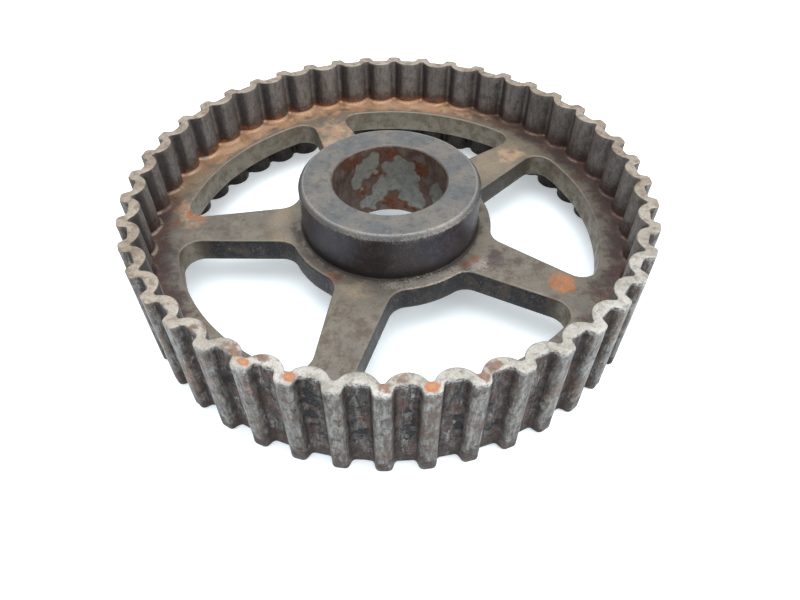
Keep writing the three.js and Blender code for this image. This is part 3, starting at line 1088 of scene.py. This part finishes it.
def web_face(paint, broad, medium, fine, grime):
    """The web's upper and lower faces: warm grey, mottled and speckled."""
    return paint.layers(
        paint.mix((broad, 0.3, 0.7), (144, 139, 131), (162, 154, 141)),
        ((128, 117, 105), (medium, 0.47, 0.62), 0.65),
        ((176, 168, 155), (grime, 0.52, 0.64), 0.6),
        ((196, 182, 158), "far", 0.4),
        ((92, 82, 74), (fine, 0.54, 0.66), 0.45),
    )


def web_walls(paint, medium, fine, grime):
    """The windows' walls: near black by the near spokes, mottled olive grey on the far side and the ring."""
    near = paint.layers(
        paint.mix((medium, 0.44, 0.62), (64, 63, 67), (108, 100, 95)),
        ((180, 172, 162), (fine, 0.56, 0.62), (grime, 0.46, 0.58), 0.6),
    )
    far = paint.layers(
        paint.mix((medium, 0.4, 0.64), (162, 152, 135), (136, 125, 108)),
        ((150, 116, 92), (grime, 0.58, 0.68), 0.5),
    )
    return paint.mix(paint.math("MAXIMUM", "far", "outer_wall"), near, far)


def hub_material():
    """Turned steel: a scratched grey face, a black side, and a bore with oxide patches edged with rust."""
    paint = Paint("hub_steel_turned")
    broad = paint.noise(10 * MM, detail=4, shift=11.0)
    medium = paint.noise(2.4 * MM, detail=6, rough=0.68, shift=12.0)
    fine = paint.noise(0.45 * MM, detail=5, rough=0.75, shift=13.0)
    warp = paint.noise(3.0 * MM, detail=1.5, rough=0.4, shift=14.0)
    dull = paint.mix((medium, 0.42, 0.6), (92, 90, 93), (124, 120, 115))
    scraped = paint.both((fine, 0.44, 0.56), (medium, 0.42, 0.54))
    rubbed = paint.mix(scraped, (104, 101, 99), (164, 161, 155))
    colour = paint.layers(
        paint.mix((medium, 0.42, 0.62), (90, 87, 98), (116, 111, 118)),
        ((98, 88, 84), (broad, 0.48, 0.62), 0.6),
        ((144, 136, 130), (fine, 0.55, 0.64), (medium, 0.46, 0.56), 0.7),
        ((70, 60, 60), paint.ragged("foot", medium, 0.3, 0.2, 0.9), 0.7),
        (paint.mix("rubbed", dull, rubbed), "chamfer"),
        (hub_face(paint, broad, medium, fine, warp), "face"),
        ((200, 198, 192), ("face_edge", 0.6, 0.95), (fine, 0.38, 0.5), 0.5),
        (hub_bore(paint, medium, fine, warp), "bore"),
    )
    return paint.finish(
        colour=paint.grained(colour, fine, 0.88, 1.12),
        roughness=paint.step(medium, 0.3, 0.7, 0.36, 0.56),
        metallic=0.7,
        normal=paint.bump(fine, 0.12 * MM, 0.6),
    )


def hub_face(paint, broad, medium, fine, warp):
    """The machined end face: grey, bluer in places, rubbed pale in patches and finely scratched."""
    scratches = paint.noise(0.5 * MM, detail=3, rough=0.6, stretch=(0.3, 0.8, 1), shift=18.0, twist=0.8)
    return paint.layers(
        paint.mix((broad, 0.4, 0.6), (152, 149, 143), (126, 131, 134)),
        ((110, 108, 109), (medium, 0.48, 0.64), 0.6),
        ((162, 154, 143), (warp, 0.5, 0.7), 0.4),
        ((182, 178, 170), (scratches, 0.6, 0.66), 0.4),
        ((80, 80, 84), (fine, 0.54, 0.63), 0.7),
    )


def hub_bore(paint, medium, fine, warp):
    """The bore: brown grey with pale grey-green oxide patches, each fringed with rust."""
    fringe = paint.both(paint.ragged("oxide", warp, 0.2, 0.2, 0.42), (medium, 0.42, 0.54), 0.6)
    rusty = paint.layers(
        paint.mix((medium, 0.42, 0.6), (152, 98, 74), (112, 74, 62)),
        ((200, 118, 74), (fine, 0.54, 0.62), 0.8),
    )
    oxide = paint.mix((medium, 0.4, 0.6), (188, 188, 178), (166, 167, 159))
    return paint.layers(
        paint.mix((medium, 0.4, 0.6), (130, 104, 96), (158, 141, 128)),
        ((88, 73, 70), (fine, 0.5, 0.62), 0.7),
        (rusty, paint.math("MAXIMUM", fringe, paint.ragged("bore_rust", warp, 0.3, 0.4, 0.65))),
        (oxide, paint.ragged("oxide", warp, 0.16, 0.44, 0.56)),
    )


# ---------------- camera, floor and light

CAMERA_AIM = Vector((2.99 * MM, -42.47 * MM, rim_high.z))
CAMERA_DISTANCE = 125.19 * MM
CAMERA_ELEVATION = math.radians(46.984)
CAMERA_HEADING = math.radians(-0.275)
CAMERA_ROLL = math.radians(0.4215)
CAMERA_LENS = 27.479
CAMERA_SENSOR = 36.0


def studio_camera():
    """The camera, aimed at a point just outside the near spokes, at the height of the rim's upper edge."""
    data = bpy.data.cameras.new("camera")
    data.lens = CAMERA_LENS
    data.sensor_width = CAMERA_SENSOR
    data.clip_start = 0.01
    camera = added("camera", data)
    level = math.cos(CAMERA_ELEVATION)
    ahead = Vector((
        math.sin(CAMERA_HEADING) * level,
        math.cos(CAMERA_HEADING) * level,
        -math.sin(CAMERA_ELEVATION),
    ))
    turn = ahead.to_track_quat("-Z", "Y").to_matrix().to_4x4()
    place = Matrix.Translation(CAMERA_AIM - ahead * CAMERA_DISTANCE)
    camera.matrix_world = place @ turn @ Matrix.Rotation(CAMERA_ROLL, 4, "Z")
    bpy.context.scene.camera = camera


# The floor's linear colours. A faint bluish glow keeps its shadows as light as a white studio's.
FLOOR_TONE = Vector((0.8, 0.875, 0.93, 1.0))
FLOOR_TONE_LIGHTER = Vector((0.82, 0.89, 0.94, 1.0))
FLOOR_GLOW = Vector((0.9, 0.96, 1.0, 1.0))


def pale_floor():
    """A wide white sheet under the pulley."""
    reach = 12 * LAND_REACH
    mesh = bpy.data.meshes.new("floor")
    corners = [(-reach, -reach, 0), (reach, -reach, 0), (reach, reach, 0), (-reach, reach, 0)]
    mesh.from_pydata(corners, [], [(0, 1, 2, 3)])
    floor = added("floor", mesh)
    paint = Paint("white_paper")
    tone = paint.mix(paint.noise(40 * MM), FLOOR_TONE, FLOOR_TONE_LIGHTER)
    paint.surface.inputs["Emission Color"].default_value = FLOOR_GLOW
    paint.surface.inputs["Emission Strength"].default_value = 0.35
    mesh.materials.append(paint.finish(tone, 0.9, 0.0, paint.bump(paint.noise(1 * MM), 0.02 * MM, 0.1)))


def soft_lamp(name, place, size, power):
    """A square lamp that faces the pulley. Its place and size are in units of the rim's reach."""
    data = bpy.data.lights.new(name, "AREA")
    data.size = size * LAND_REACH
    data.energy = power
    lamp = added(name, data)
    lamp.location = Vector(place) * LAND_REACH
    lamp.rotation_euler = (-lamp.location).to_track_quat("-Z", "Y").to_euler()


def studio():
    """White surroundings, a wide lamp overhead and a large one low on the right."""
    world = bpy.data.worlds.new("studio")
    world.use_nodes = True
    world.node_tree.nodes["Background"].inputs["Color"].default_value = (1.0, 1.0, 1.0, 1.0)
    world.node_tree.nodes["Background"].inputs["Strength"].default_value = 1.35
    bpy.context.scene.world = world
    soft_lamp("lamp_overhead", (-0.5, 0.0, 6.0), 6.0, 1.4)
    soft_lamp("lamp_right", (5.0, -2.0, 3.2), 3.0, 0.9)
    bpy.context.scene.view_settings.view_transform = "Standard"


# ---------------- assembly

studio_camera()
pale_floor()
studio()
toothed_rim()
spoked_web()
hub()
